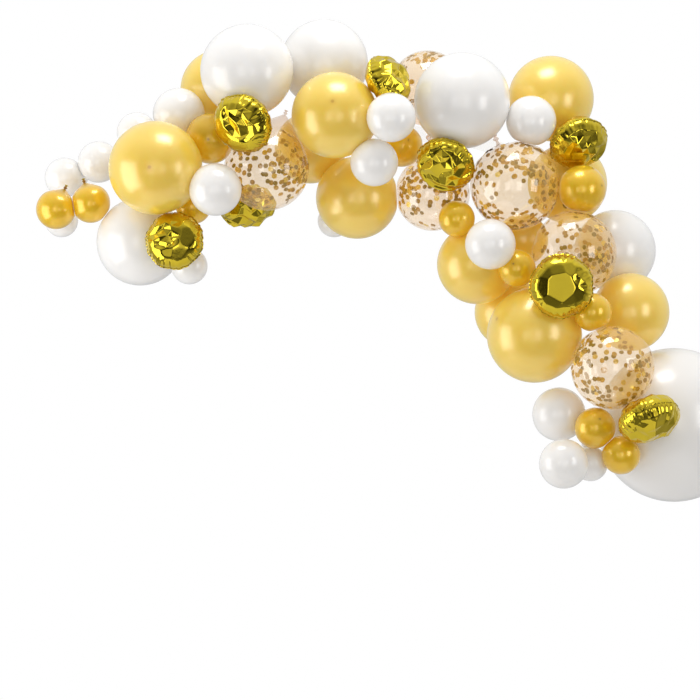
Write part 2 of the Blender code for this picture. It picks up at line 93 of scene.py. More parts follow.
# Foil balloons, as shares of their radius
FOIL_THICKNESS_SHARE = 0.6
FOIL_FULLNESS = 2.8
LEAST_FOIL_HEIGHT = 0.006

# The points round a foil balloon, and the rings from its middle to its seam
FOIL_POINTS = 208
FOIL_RINGS = 46

# Rings of facets: how many, how far out, how much that varies, and how deep they cut at least
FACET_RINGS = ((1, 0.0, 0.04, 0.034), (7, 0.54, 0.03, 0.014), (13, 0.84, 0.03, 0.014))
FACET_SHIFT = 0.18
FACET_TILT = 0.07
FACET_DEPTH_SPREAD = 0.018

# Rings of the corners that creases run between: how many, and how far out
CREASE_RINGS = ((1, 0.0), (6, 0.24), (11, 0.44), (16, 0.64), (21, 0.84), (24, 1.06))
CREASE_SHIFT = 0.3
CREASE_SPREAD = 0.06
CREASE_LIFTS = (-1.0, 0.35)
CRUMPLE_EDGE = 0.16

# Pleats round the rim: their shift and width as shares of their room, then their strengths,
# lengths, depth and how far they pull the rim in
PLEAT_SHIFT = 0.32
PLEAT_WIDTH = 0.45
PLEAT_STRENGTHS = (0.3, 1.0)
PLEAT_LENGTHS = (0.10, 0.32)
PLEAT_DEPTH = 0.09
PLEAT_PULL = 0.03

# The seam: half its thickness, the height and number of its ripples, the shift of its corners
SEAM_HALF = 0.0003
SEAM_RIPPLE = 0.0007
SEAM_RIPPLES = 52
CORNER_SHIFT = 0.3

# Foil balloons that are wider than their solids, by these factors
BULGES = {"foil_top_left": 1.06, "foil_middle": 1.03, "foil_shoulder": 1.05, "foil_foot": 1.02}

# The foil balloons that are faceted where they aren't crumpled
FACETED = ("foil_leg", "foil_low_left")

# Where a foil balloon is crumpled: the middle of it to the right and up, its reach, its depth
CRUMPLES = {
    "foil_top_left": (0.38, 0.45, 0.72, 0.12),
    "foil_low_left": (-0.30, 0.30, 0.62, 0.13),
    "foil_low_middle": (0.0, -0.30, 1.25, 0.19),
    "foil_top_middle": (-0.10, 0.10, 0.95, 0.13),
    "foil_middle": (0.15, 0.10, 0.85, 0.13),
    "foil_shoulder": (-0.05, 0.25, 1.00, 0.13),
    "foil_leg": (0.75, 0.30, 0.35, 0.06),
    "foil_foot": (-0.12, 0.38, 0.90, 0.13),
}

# The points round a latex balloon, and the rings from its thick end to its shoulder
LARGE_DIVISIONS = (72, 44)
SMALL_DIVISIONS = (48, 30)

# Where the body of a latex balloon ends and its neck begins, from the thick end
SHOULDER_DEGREES = 142.0
PEAR_DEGREES = 116.0
PEAR_SHAPED = ("mini_gold_tip_outer", "mini_gold_tip_inner", "clear_left", "mini_gold_foot_low")

# The curve from the shoulder to the knot: its rings, how strongly its ends hold it, how a pear
# slopes at the knot, and its least length and the small pears' length as shares of the radius
NECK_RINGS = 12
ROUND_PULL = 0.42
PEAR_PULL = 0.34
END_PULL_SHARE = 0.8
PEAR_SLOPE = -1.3
LEAST_NECK_SHARE = 0.93
PEAR_LENGTH = 1.09

# The neck's rings further out than this share of the radius aren't pressed
PRESSED_NECK_SHARE = 0.97

# The knot and the rolled mouth past it: how far along and how wide, in metres
KNOT_PROFILE = (
    (0.0012, 0.0034), (0.0030, 0.0058), (0.0050, 0.0073), (0.0070, 0.0074), (0.0088, 0.0060),
    (0.0100, 0.0042), (0.0114, 0.0038), (0.0134, 0.0048), (0.0150, 0.0062), (0.0158, 0.0072),
    (0.0166, 0.0074), (0.0170, 0.0068), (0.0164, 0.0058), (0.0150, 0.0046), (0.0134, 0.0032),
)
MOUTH_DEPTH = 0.0130
KNOT_LOBES = 3
KNOT_WAVE = 0.10
LEAST_WAVED_RADIUS = 0.004
LARGE_PEAR_KNOT = 0.7
SMALL_PEAR_KNOT = 0.65

# Where the thick end of a balloon shows, as shares of its radius to the right and up
SEEN_NOSES = {
    "gold_left": (-0.10, -0.01),
    "gold_top_middle": (-0.05, 0.29),
    "gold_leg": (-0.80, 0.34),
    "mini_gold_left": (-0.08, -0.06),
    "mini_gold_middle": (0.33, 0.24),
    "mini_gold_core": (-0.22, 0.22),
    "mini_gold_shoulder": (0.80, 0.13),
    "mini_gold_foot": (0.20, 0.45),
    "mini_white_foot_back": (0.22, -0.75),
}

# Where a clear balloon has little confetti: right and up from its centre, and the reach, all
# as shares of its radius
BARE_PLACES = {
    "clear_left": (-0.10, 0.85, 0.5),
    "clear_back_top": (0.5, 0.2, 0.4),
    "clear_back_middle": (0.25, -0.75, 0.5),
    "clear_middle": (-0.15, -0.15, 0.62),
    "clear_right": (-0.75, 0.05, 0.55),
    "clear_leg": (-0.10, -0.10, 0.38),
}

# The confetti: sides of a disc, how far it lies under the skin as a share of its diameter, and
# the subdivisions of the sphere that it lies on
DISC_SIDES = 14
DISC_INSET_SHARE = 0.26
INNER_SUBDIVISIONS = 4

# The floor, the point that the lamps look at, and the lamps: name, place, width, height, power
FLOOR_COLOUR = (0.74, 0.73, 0.72, 1.0)
FLOOR_ROUGHNESS = 0.8
LAMP_TARGET = (0.1, -0.2, -0.3)
WINDOWS = (
    ("right_window", (2.4, -2.0, -0.2), 0.8, 1.3, 10.0),
    ("front_window_left", (-1.2, -4.5, -0.4), 0.9, 1.6, 5.5),
    ("front_window_right", (1.1, -4.5, -0.4), 0.9, 1.6, 5.5),
)

# The camera's view: its centre to the right and up, its width, and the depth that they are at
VIEW_CENTRE = (0.025, -0.550)
VIEW_WIDTH = 1.75
VIEW_DEPTH = -0.25
LENS_MM = 400.0
SENSOR_MM = 36.0


class Body:
    """A balloon's centre, size and direction, read from its solid in the frame."""

    def __init__(self, name):
        self.name = name
        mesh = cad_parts[name].data
        points = np.empty(len(mesh.vertices) * 3)
        mesh.vertices.foreach_get("co", points)
        self.points = np.unique(points.reshape(-1, 3).round(6), axis=0)
        self.foil = name.startswith("foil")
        self.planes = []
        if self.foil:
            self.measure_foil()
        else:
            self.measure_latex()
        self.large = self.radius > LARGE_BALLOON_RADIUS

    def measure_foil(self):
        """The round pillow's centre, and the axis that it is thin along."""
        centre = (self.points.min(axis=0) + self.points.max(axis=0)) / 2
        for _ in range(FOIL_FIT_ROUNDS):
            spread = self.points - centre
            axes = np.linalg.eigh(spread.T @ spread)[1]
            for axis in axes.T:
                along = (self.points - centre) @ axis
                centre = centre + axis * (along.min() + along.max()) / 2
        dome = axes[:, 0]
        self.centre = centre
        self.axis = dome if dome[1] < 0 else -dome
        spread = self.points - centre
        flat = spread - np.outer(spread @ dome, dome)
        outermost = np.sort(np.linalg.norm(flat, axis=1))[-FOIL_RIM_CORNERS:]
        self.radius = float(outermost.mean()) * BULGES.get(self.name, 1.0)

    def measure_latex(self):
        """The round body by its best sphere, and the neck by what stands out of it."""
        kept = self.points
        for _ in range(FIT_ROUNDS):
            system = np.c_[2 * kept, np.ones(len(kept))]
            answer = np.linalg.lstsq(system, (kept ** 2).sum(axis=1), rcond=None)[0]
            centre = answer[:3]
            radius = math.sqrt(answer[3] + centre @ centre)
            reach = np.linalg.norm(self.points - centre, axis=1)
            nearest = np.argsort(np.abs(reach - radius))
            kept = self.points[nearest[:max(FIT_LEAST, int(len(reach) * FIT_SHARE))]]
        self.centre = centre
        large = radius > LARGE_BALLOON_RADIUS
        self.radius = radius * (LARGE_ROUND_SHARE if large else SMALL_ROUND_SHARE)
        self.end = self.points[np.argmax(reach)]
        self.tied = self.end[1] > THROUGH_STRIP
        if self.tied:
            self.hole = np.array((self.end[0], 0.0, self.end[2]))
            self.axis = unit(self.centre - self.hole)
        else:
            self.axis = unit(self.centre - self.end)

    def support(self, direction):
        """The furthest point from the centre along a direction."""
        if not self.foil:
            return direction * self.radius
        along = direction @ self.axis
        thin = FOIL_THICKNESS_SHARE ** 2
        stretched = direction + self.axis * along * (thin - 1)
        return stretched * self.radius / math.sqrt(1 - along * along * (1 - thin))

    def reach(self, direction):
        return float(self.support(direction) @ direction)


def unit(vector):
    return vector / np.linalg.norm(vector)


def facing_direction(one, other):
    """The direction from one body to the other, square to both where they face each other."""
    line = other.centre - one.centre
    direction = unit(line)
    if one.foil or other.foil:
        for _ in range(FACING_ROUNDS):
            apart = line - one.support(direction) + other.support(-direction)
            sideways = apart - direction * (apart @ direction)
            direction = unit(direction + sideways / np.linalg.norm(line))
    return direction


def nearest_on_line(point, start, end):
    line = end - start
    share = np.clip((point - start) @ line / (line @ line), 0.0, 1.0)
    return start + line * share


def find_planes(balloons):
    """The planes that bodies press flat against: contacts, the strip and the necks near them."""
    for i, one in enumerate(balloons):
        for other in balloons[i + 1:]:
            line = other.centre - one.centre
            if np.linalg.norm(line) > one.radius + other.radius:
                continue
            direction = facing_direction(one, other)
            here, there = one.reach(direction), other.reach(-direction)
            gap = line @ direction - here - there
            if gap > 0:
                continue
            share = there / (here + there)
            one.planes.append((direction, here + gap * share - SKIN_GAP))
            other.planes.append((-direction, there + gap * (1 - share) - SKIN_GAP))
    backwards = np.array((0.0, 1.0, 0.0))
    for body in balloons:
        to_strip = -body.centre[1] - STRIP_THICKNESS - SKIN_GAP
        if to_strip < body.reach(backwards):
            body.planes.append((backwards, to_strip))
        for other in balloons:
            if other is body or other.foil:
                continue
            start = other.centre - other.axis * other.radius * NECK_ROOT_SHARE
            line = nearest_on_line(body.centre, start, other.end) - body.centre
            height = np.linalg.norm(line) - KNOT_RADIUS
            if height < body.radius * NECK_NEAR_SHARE:
                body.planes.append((unit(line), height))


def pressed(body, points, soft=LATEX_SOFTNESS, facets=()):
    """Points of a body pulled in to its planes, with a soft turn where each flat begins."""
    offsets = points - body.centre
    reach = np.linalg.norm(offsets, axis=1)
    directions = offsets / np.maximum(reach, 1e-9)[:, None]
    total = np.ones(len(points))
    for normal, height in (*body.planes, *facets):
        facing = directions @ normal
        limit = height / np.maximum(facing, LEAST_FACING)
        limit = np.where(facing > LEAST_FACING, limit, NO_LIMIT)
        total += np.exp(np.clip((reach - limit) / soft, -EXPONENT_LIMIT, EXPONENT_LIMIT))
    return body.centre + directions * (reach - soft * np.log(total))[:, None]


def turned_frame(axis):
    """Two directions square to an axis and to each other."""
    side = np.cross(axis, (0.0, 0.0, 1.0))
    if np.linalg.norm(side) < 0.2:
        side = np.cross(axis, (1.0, 0.0, 0.0))
    side = unit(side)
    return side, np.cross(axis, side)


def circle(count, side, other):
    """Directions round a circle, and their angles."""
    angles = np.arange(count) * math.tau / count
    return np.outer(np.cos(angles), side) + np.outer(np.sin(angles), other), angles


def loops_mesh(name, loops, first, last):
    """A closed, smooth mesh of loops with the same number of points, ended by single points."""
    count = len(loops[0])
    points = [tuple(point) for loop in loops for point in loop]
    faces = []
    for i in range(len(loops) - 1):
        for k in range(count):
            j = (k + 1) % count
            faces.append((i * count + k, i * count + j, (i + 1) * count + j, (i + 1) * count + k))
    start, base = len(points), (len(loops) - 1) * count
    points += [tuple(first), tuple(last)]
    faces += [(start, (k + 1) % count, k) for k in range(count)]
    faces += [(start + 1, base + k, base + (k + 1) % count) for k in range(count)]
    bm = bmesh.new()
    verts = [bm.verts.new(point) for point in points]
    for face in faces:
        bm.faces.new([verts[k] for k in face])
    bmesh.ops.recalc_face_normals(bm, faces=bm.faces)
    if bm.calc_volume(signed=True) < 0:
        bmesh.ops.reverse_faces(bm, faces=bm.faces)
    mesh = bpy.data.meshes.new(name)
    bm.to_mesh(mesh)
    bm.free()
    mesh.shade_smooth()
    return mesh


def knot_place(body):
    """How far from the centre the knot begins."""
    if body.tied:
        return float(np.linalg.norm(body.hole - body.centre))
    if body.name in PEAR_SHAPED and not body.large:
        return body.radius * PEAR_LENGTH
    return float(np.linalg.norm(body.end - body.centre)) - KNOT_LENGTH


def neck_profile(body, shoulder):
    """Points from the body's shoulder to the knot: how far along the tail, and the radius."""
    start = np.array((-math.cos(shoulder), math.sin(shoulder))) * body.radius
    end = np.array((max(knot_place(body), body.radius * LEAST_NECK_SHARE), NECK_RADIUS))
    pear = body.name in PEAR_SHAPED
    pull = np.linalg.norm(end - start) * (PEAR_PULL if pear else ROUND_PULL)
    slope = np.array((math.sin(shoulder), math.cos(shoulder)))
    taper = unit(np.array((1.0, PEAR_SLOPE if pear else 0.0)))
    first, second = start + slope * pull, end - taper * pull * END_PULL_SHARE
    shares = np.arange(1, NECK_RINGS + 1)[:, None] / NECK_RINGS
    return ((1 - shares) ** 3 * start + 3 * (1 - shares) ** 2 * shares * first
            + 3 * (1 - shares) * shares ** 2 * second + shares ** 3 * end)


def knot_loops(body, count, side):
    """The knot and the short flared mouth past it, and the point that closes the mouth."""
    tail = np.array((0.0, 1.0, 0.0)) if body.tied else -body.axis
    base = body.hole if body.tied else body.centre + tail * knot_place(body)
    side = unit(side - tail * (side @ tail))
    round_, angles = circle(count, side, np.cross(-tail, side))
    loops = []
    size = 1.0
    if body.name in PEAR_SHAPED:
        size = LARGE_PEAR_KNOT if body.large else SMALL_PEAR_KNOT
    for step, (along, radius) in enumerate(KNOT_PROFILE):
        wave = KNOT_WAVE * np.sin(KNOT_LOBES * angles + step) * (radius > LEAST_WAVED_RADIUS)
        loops.append(base + tail * along * size + round_ * (radius * size * (1 + wave))[:, None])
    return loops, base + tail * MOUTH_DEPTH * size


def latex_mesh(body, fine):
    """A latex balloon: round body pressed by its neighbours, taper, knot and rolled mouth."""
    divisions = LARGE_DIVISIONS if body.large else SMALL_DIVISIONS
    count, rings = (int(number * fine) for number in divisions)
    side, other = turned_frame(body.axis)
    round_, _ = circle(count, side, other)
    shoulder = math.radians(PEAR_DEGREES if body.name in PEAR_SHAPED else SHOULDER_DEGREES)
    loops = []
    for i in range(1, rings + 1):
        polar = shoulder * i / rings
        loop = (body.centre + body.axis * math.cos(polar) * body.radius
                + round_ * math.sin(polar) * body.radius)
        loops.append(pressed(body, loop))
    for along, across in neck_profile(body, shoulder):
        loop = body.centre - body.axis * along + round_ * across
        if along < body.radius * PRESSED_NECK_SHARE:
            loop = pressed(body, loop)
        loops.append(loop)
    knot, last = knot_loops(body, count, side)
    nose = pressed(body, (body.centre + body.axis * body.radius)[None, :])[0]
    mesh = loops_mesh(body.name, loops + knot, nose, last)
    add_angles(mesh, body)
    return mesh


def add_angles(mesh, body):
    """Stores each point's angle from the thick end, if that shows, and from the neck."""
    points = np.empty(len(mesh.vertices) * 3)
    mesh.vertices.foreach_get("co", points)
    offsets = points.reshape(-1, 3) - body.centre
    directions = offsets / np.maximum(np.linalg.norm(offsets, axis=1), 1e-9)[:, None]
    from_neck = np.arccos(np.clip(-directions @ body.axis, -1, 1))
    from_nose = math.pi - from_neck * 0.5
    if body.name in SEEN_NOSES:
        across, up = SEEN_NOSES[body.name]
        nose = np.array((across, -math.sqrt(1 - across ** 2 - up ** 2), up))
        from_nose = np.arccos(np.clip(directions @ nose, -1, 1))
    for name, values in (("from_nose", from_nose), ("from_neck", from_neck)):
        mesh.attributes.new(name, "FLOAT", "POINT").data.foreach_set("value", values)


def add_piece(name, mesh, material, node=None):
    """A piece of the garland, in its place, riding with the frame."""
    mesh.materials.clear()
    mesh.materials.append(material)
    piece = bpy.data.objects.new(name, mesh)
    bpy.context.scene.collection.objects.link(piece)
    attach(piece, "root")
    if node:
        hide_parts(node)
    return piece


def new_material(name):
    made = bpy.data.materials.new(name)
    made.use_nodes = True
    tree = made.node_tree
    return made, tree, tree.nodes["Principled BSDF"]


def feed(tree, socket, value):
    """Links a socket's output to an input, or sets the input's own value."""
    if hasattr(value, "is_linked"):
        tree.links.new(value, socket)
    elif hasattr(value, "__len__"):
        socket.default_value = (*value, 1.0)[:4]
    else:
        socket.default_value = value


def maths(tree, operation, *values, clamp=False):
    made = tree.nodes.new("ShaderNodeMath")
    made.operation = operation
    made.use_clamp = clamp
    for socket, value in zip(made.inputs, values):
        feed(tree, socket, value)
    return made.outputs[0]


def mix(tree, factor, first, second, mode="MIX"):
    made = tree.nodes.new("ShaderNodeMix")
    made.data_type = "RGBA"
    made.blend_type = mode
    for socket, value in zip((made.inputs[0], made.inputs[6], made.inputs[7]),
                             (factor, first, second)):
        feed(tree, socket, value)
    return made.outputs[2]


def ramp(tree, source, *stops):
    """A colour ramp on a value, from (position, grey or colour) pairs in rising order."""
    made = tree.nodes.new("ShaderNodeValToRGB")
    elements = made.color_ramp.elements
    while len(elements) < len(stops):
        elements.new(0.5)
    for element, (position, value) in zip(elements, stops):
        element.position = position
        element.color = (*value, 1.0) if hasattr(value, "__len__") else (value, value, value, 1.0)
    tree.links.new(source, made.inputs["Fac"])
    return made.outputs["Color"]


def noise(tree, scale, detail=2.0, place_by="Object"):
    """Clouds on the object's own coordinates, or on the directions of the world."""
    place = tree.nodes.new("ShaderNodeTexCoord")
    made = tree.nodes.new("ShaderNodeTexNoise")
    made.inputs["Scale"].default_value = scale
    made.inputs["Detail"].default_value = detail
    tree.links.new(place.outputs[place_by], made.inputs["Vector"])
    return made.outputs["Fac"]


def attribute(tree, name):
    made = tree.nodes.new("ShaderNodeAttribute")
    made.attribute_name = name
    return made.outputs["Fac"]


def bump(tree, shader, height, strength, distance):
    made = tree.nodes.new("ShaderNodeBump")
    made.inputs["Strength"].default_value = strength
    made.inputs["Distance"].default_value = distance
    tree.links.new(height, made.inputs["Height"])
    tree.links.new(made.outputs["Normal"], shader.inputs["Normal"])


def latex_group():
    """Colour, roughness and height of blown latex: thick at nose and neck, finely mottled."""
    group = bpy.data.node_groups.get("Blown latex")
    if group:
        return group
    group = bpy.data.node_groups.new("Blown latex", "ShaderNodeTree")
    for label, kind, value in (("Thin colour", "NodeSocketColor", (1, 1, 1, 1)),
                               ("Thick colour", "NodeSocketColor", (1, 1, 1, 1)),
                               ("Nose size", "NodeSocketFloat", 0.07),
                               ("Roughness", "NodeSocketFloat", 0.25),
                               ("Mottling", "NodeSocketFloat", 0.05)):
        socket = group.interface.new_socket(label, in_out="INPUT", socket_type=kind)
        socket.default_value = value
    for label, kind in (("Colour", "NodeSocketColor"), ("Roughness", "NodeSocketFloat"),
                        ("Height", "NodeSocketFloat")):
        group.interface.new_socket(label, in_out="OUTPUT", socket_type=kind)
    given = group.nodes.new("NodeGroupInput").outputs
    out = group.nodes.new("NodeGroupOutput").inputs
    near_nose = maths(group, "DIVIDE", attribute(group, "from_nose"), given["Nose size"])
    spot = ramp(group, near_nose, (0.0, 0.75), (0.26, 0.55), (0.42, 0.16), (1.0, 0.0))
    neck = ramp(group, attribute(group, "from_neck"), (0.05, 1.0), (0.26, 0.55), (0.8, 0.0))
    drift = maths(group, "SUBTRACT", noise(group, 9.0, 3.0), 0.5)
    drift = maths(group, "MULTIPLY", drift, given["Mottling"])
    thick = maths(group, "ADD", spot, neck)
    thick = maths(group, "MULTIPLY_ADD", drift, 6.0, thick, clamp=True)
    group.links.new(mix(group, thick, given["Thin colour"], given["Thick colour"]), out["Colour"])
    group.links.new(maths(group, "ADD", given["Roughness"], drift), out["Roughness"])
    group.links.new(noise(group, 260.0, 4.0), out["Height"])
    return group


def add_latex_group(tree, thin, thick, roughness, nose, mottling):
    effect = tree.nodes.new("ShaderNodeGroup")
    effect.node_tree = latex_group()
    for label, value in (("Thin colour", (*thin, 1.0)), ("Thick colour", (*thick, 1.0)),
                         ("Nose size", nose), ("Roughness", roughness),
                         ("Mottling", mottling)):
        effect.inputs[label].default_value = value
    return effect.outputs


def latex_material(name, thin, thick, pearl, roughness, metallic, glow, coat, painted_glow=0.08,
                   nose=0.12, mottling=0.03):
    """Opaque latex, painted a lighter sheen colour where it is seen edge on (a painted sheen);
    its skin scatters lamplight beneath its surface, and a painted glow from emission lightens its
    shade.
    """
    made, tree, shader = new_material(name)
    effect = add_latex_group(tree, thin, thick, roughness, nose, mottling)
    edge = tree.nodes.new("ShaderNodeLayerWeight")
    edge.inputs["Blend"].default_value = 0.5
    # Painted sheen: the base colour turns towards the lighter pearl colour where the skin is seen
    # edge on, standing in for a bright rim of reflected lamplight
    sheen = ramp(tree, edge.outputs["Facing"], (0.15, 0.0), (0.6, 0.35), (1.0, 1.0))
    colour = mix(tree, sheen, effect["Colour"], pearl)
    tree.links.new(colour, shader.inputs["Base Color"])
    # Painted glow: the latex's own colour is emitted, lightening its shade as if lit through the
    # skin
    tree.links.new(effect["Colour"], shader.inputs["Emission Color"])
    tree.links.new(effect["Roughness"], shader.inputs["Roughness"])
    bump(tree, shader, effect["Height"], 0.02, 0.0005)
    for label, value in (("Metallic", metallic), ("Coat Weight", 1.0),
                         ("Coat Roughness", coat[0]), ("Coat IOR", coat[1]),
                         ("Subsurface Weight", 0.7),
                         ("Subsurface Scale", 1.0), ("Subsurface Radius", glow),
                         ("Emission Strength", painted_glow)):
        shader.inputs[label].default_value = value
    return made


class LatexSettings(bpy.types.PropertyGroup):
    white: FloatVectorProperty(
        name="White", description="Colour of the stretched white latex", subtype="COLOR",
        default=(0.885, 0.865, 0.84), min=0, max=1)
    # Painted sheen: the lighter colour painted on white latex where it is seen edge on
    white_painted_sheen: FloatVectorProperty(
        name="White sheen", description="Colour of white latex seen edge on",
        subtype="COLOR", default=(0.95, 0.945, 0.93), min=0, max=1)
    white_thick: FloatVectorProperty(
        name="Thick white", description="Colour of white latex at the nose and neck",
        subtype="COLOR", default=(0.80, 0.74, 0.68), min=0, max=1)
    pearl: FloatVectorProperty(
        name="Pearl gold", description="Colour of the large gold balloons", subtype="COLOR",
        default=(0.88, 0.62, 0.09), min=0, max=1)
    # Painted sheen: the lighter colour painted on pearl gold latex where it is seen edge on
    pearl_painted_sheen: FloatVectorProperty(
        name="Pearl gold sheen", description="Colour of the large gold balloons seen edge on",
        subtype="COLOR", default=(0.95, 0.715, 0.11), min=0, max=1)
    pearl_thick: FloatVectorProperty(
        name="Thick pearl gold", description="Colour of pearl gold latex at the nose and neck",
        subtype="COLOR", default=(0.50, 0.24, 0.02), min=0, max=1)
    deep: FloatVectorProperty(
        name="Deep gold", description="Colour of the small gold balloons", subtype="COLOR",
        default=(0.80, 0.51, 0.018), min=0, max=1)
    # Painted sheen: the lighter colour painted on deep gold latex where it is seen edge on
    deep_painted_sheen: FloatVectorProperty(
        name="Deep gold sheen", description="Colour of the small gold balloons seen edge on",
        subtype="COLOR", default=(0.84, 0.53, 0.04), min=0, max=1)
    deep_thick: FloatVectorProperty(
        name="Thick deep gold", description="Colour of deep gold latex at the nose and neck",
        subtype="COLOR", default=(0.16, 0.07, 0.006), min=0, max=1)
    fineness: FloatProperty(
        name="Fineness", description="How finely the round bodies are divided",
        default=1.0, min=0.3, max=2.0)


class ClearSettings(bpy.types.PropertyGroup):
    tint: FloatVectorProperty(
        name="Tint", description="Colour of the clear latex", subtype="COLOR",
        default=(1.0, 0.63, 0.12), min=0, max=1)
    rim: FloatVectorProperty(
        name="Rim", description="Colour of the clear latex seen edge on", subtype="COLOR",
        default=(0.80, 0.50, 0.14), min=0, max=1)
    neck: FloatVectorProperty(
        name="Neck", description="Colour of the clear latex at its neck", subtype="COLOR",
        default=(0.70, 0.33, 0.05), min=0, max=1)
    opacity: FloatProperty(
        name="Opacity", description="How much the clear latex hides what is behind it",
        subtype="FACTOR", default=0.34, min=0, max=1)
    disc_diameter: FloatProperty(
        name="Disc diameter", description="Width of one confetti disc", unit="LENGTH",
        default=0.0135, min=0.002, max=0.03)
    disc_thickness: FloatProperty(
        name="Disc thickness", description="Thickness of one confetti disc", unit="LENGTH",
        default=0.0004, min=0.0001, max=0.002)
    disc_spacing: FloatProperty(
        name="Disc spacing", description="Least distance between the middles of two discs",
        unit="LENGTH", default=0.0068, min=0.002, max=0.05)
    disc_density: FloatProperty(
        name="Disc density", description="Discs for each square metre of skin, where crowded",
        default=5600.0, min=10, max=20000)
    seed: IntProperty(name="Seed", description="Start of the random placing", default=7, min=0)


class FoilSettings(bpy.types.PropertyGroup):
    colour: FloatVectorProperty(
        name="Foil", description="Colour of the metal foil", subtype="COLOR",
        default=(0.80, 0.61, 0.045), min=0, max=1)
    seam_width: FloatProperty(
        name="Seam width", description="Width of the flat seam round the rim", unit="LENGTH",
        default=0.0026, min=0.0, max=0.02)
    pleats: IntProperty(
        name="Pleats", description="Number of pleats round the rim", default=30, min=3, max=80)
    corners: IntProperty(
        name="Corners", description="Number of corners that the outline has", default=15,
        min=5, max=60)
    seed: IntProperty(name="Seed", description="Start of the random folds", default=100, min=0)


class StageSettings(bpy.types.PropertyGroup):
    floor_level: FloatProperty(
        name="Floor level", description="Height of the floor", unit="LENGTH", default=-1.9)
    floor_size: FloatProperty(
        name="Floor size", description="Width of the floor", unit="LENGTH", default=2.8)
    key_power: FloatProperty(
        name="Key power", description="Power of the overhead softbox", unit="POWER", default=18.0)
    window_power: FloatProperty(
        name="Window power", description="Power of the softbox at the left", unit="POWER",
        default=26.0)


MEASURED = []


def bodies():
    """All the balloons of the frame, measured once, with the planes that they press against."""
    if not MEASURED:
        names = [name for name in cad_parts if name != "strip"]
        MEASURED.extend(Body(name) for name in sorted(names))
        find_planes(MEASURED)
    return MEASURED


def make_latex(prefixes, material, fine):
    """A finished latex balloon for each node whose name starts with one of the prefixes."""
    for body in bodies():
        if body.name.startswith(prefixes):
            add_piece(body.name + "_skin", latex_mesh(body, fine), material, body.name)


class GARLAND_OT_white(bpy.types.Operator):
    """Makes the white balloons, large and small"""

    bl_idname = "garland.white"
    bl_label = "White balloons"

    def execute(self, context):
        settings = context.scene.garland_latex
        material = latex_material("pearl_white_latex", settings.white, settings.white_thick,
                                  settings.white_painted_sheen, 0.30, 0.0, (0.06, 0.058, 0.055),
                                  (0.22, 1.65), painted_glow=0.05, mottling=0.012)
        make_latex(("white", "mini_white"), material, settings.fineness)
        return {"FINISHED"}


class GARLAND_OT_pearl(bpy.types.Operator):
    """Makes the large pearl gold balloons"""

    bl_idname = "garland.pearl"
    bl_label = "Pearl gold balloons"

    def execute(self, context):
        settings = context.scene.garland_latex
        material = latex_material("pearl_gold_latex", settings.pearl, settings.pearl_thick,
                                  settings.pearl_painted_sheen, 0.34, 0.15, (0.06, 0.045, 0.02),
                                  (0.25, 1.8), painted_glow=0.11)
        make_latex(("gold",), material, settings.fineness)
        return {"FINISHED"}


class GARLAND_OT_deep(bpy.types.Operator):
    """Makes the small deep gold balloons"""

    bl_idname = "garland.deep"
    bl_label = "Deep gold balloons"

    def execute(self, context):
        settings = context.scene.garland_latex
        material = latex_material("deep_gold_latex", settings.deep, settings.deep_thick,
                                  settings.deep_painted_sheen, 0.30, 0.34, (0.03, 0.02, 0.006),
                                  (0.12, 1.5), painted_glow=0.12, nose=0.17)
        make_latex(("mini_gold",), material, settings.fineness)
        return {"FINISHED"}


def clear_material(settings):
    """Clear latex: see-through, amber where it is seen edge on and at its neck, with a painted
    glow.
    """
    made, tree, shader = new_material("clear_confetti_latex")
    effect = add_latex_group(tree, settings.tint, settings.neck, 0.07, 0.05, 0.01)
    edge = tree.nodes.new("ShaderNodeLayerWeight")
    edge.inputs["Blend"].default_value = 0.35
    facing = ramp(tree, edge.outputs["Facing"], (0.25, 0.0), (0.70, 0.45), (0.95, 1.0))
    colour = mix(tree, facing, effect["Colour"], settings.rim)
    tree.links.new(colour, shader.inputs["Base Color"])
    tree.links.new(effect["Roughness"], shader.inputs["Roughness"])
    # Painted glow: the tinted colour is emitted, lightening the skin as if lit through it
    tree.links.new(effect["Colour"], shader.inputs["Emission Color"])
    for label, value in (("Alpha", settings.opacity), ("IOR", 2.2), ("Coat Weight", 1.0),
                         ("Coat Roughness", 0.06), ("Coat IOR", 2.3),
                         ("Emission Strength", 0.16)):
        shader.inputs[label].default_value = value
    return made


class GARLAND_OT_clear(bpy.types.Operator):
    """Makes the skins of the clear balloons"""

    bl_idname = "garland.clear"
    bl_label = "Clear balloons"

    def execute(self, context):
        material = clear_material(context.scene.garland_clear)
        make_latex(("clear",), material, context.scene.garland_latex.fineness)
        return {"FINISHED"}


def confetti_material():
    """Metallic paper in golds and browns, one colour for each disc, the brightest of them painted
    glints.
    """
    made, tree, shader = new_material("confetti")
    # Each disc's own colour, dark brown to gold; the brightest at the top of the ramp are painted
    # glints
    colour = ramp(tree, attribute(tree, "tone_and_glint"), (0.0, (0.05, 0.024, 0.002)),
                  (0.40, (0.27, 0.12, 0.008)), (0.76, (0.60, 0.30, 0.025)),
                  (0.88, (1.0, 0.72, 0.14)), (1.0, (1.0, 0.84, 0.30)))
    tree.links.new(colour, shader.inputs["Base Color"])
    rough = ramp(tree, noise(tree, 150.0), (0.3, 0.20), (0.8, 0.38))
    tree.links.new(rough, shader.inputs["Roughness"])
    shader.inputs["Metallic"].default_value = 0.5
    return made


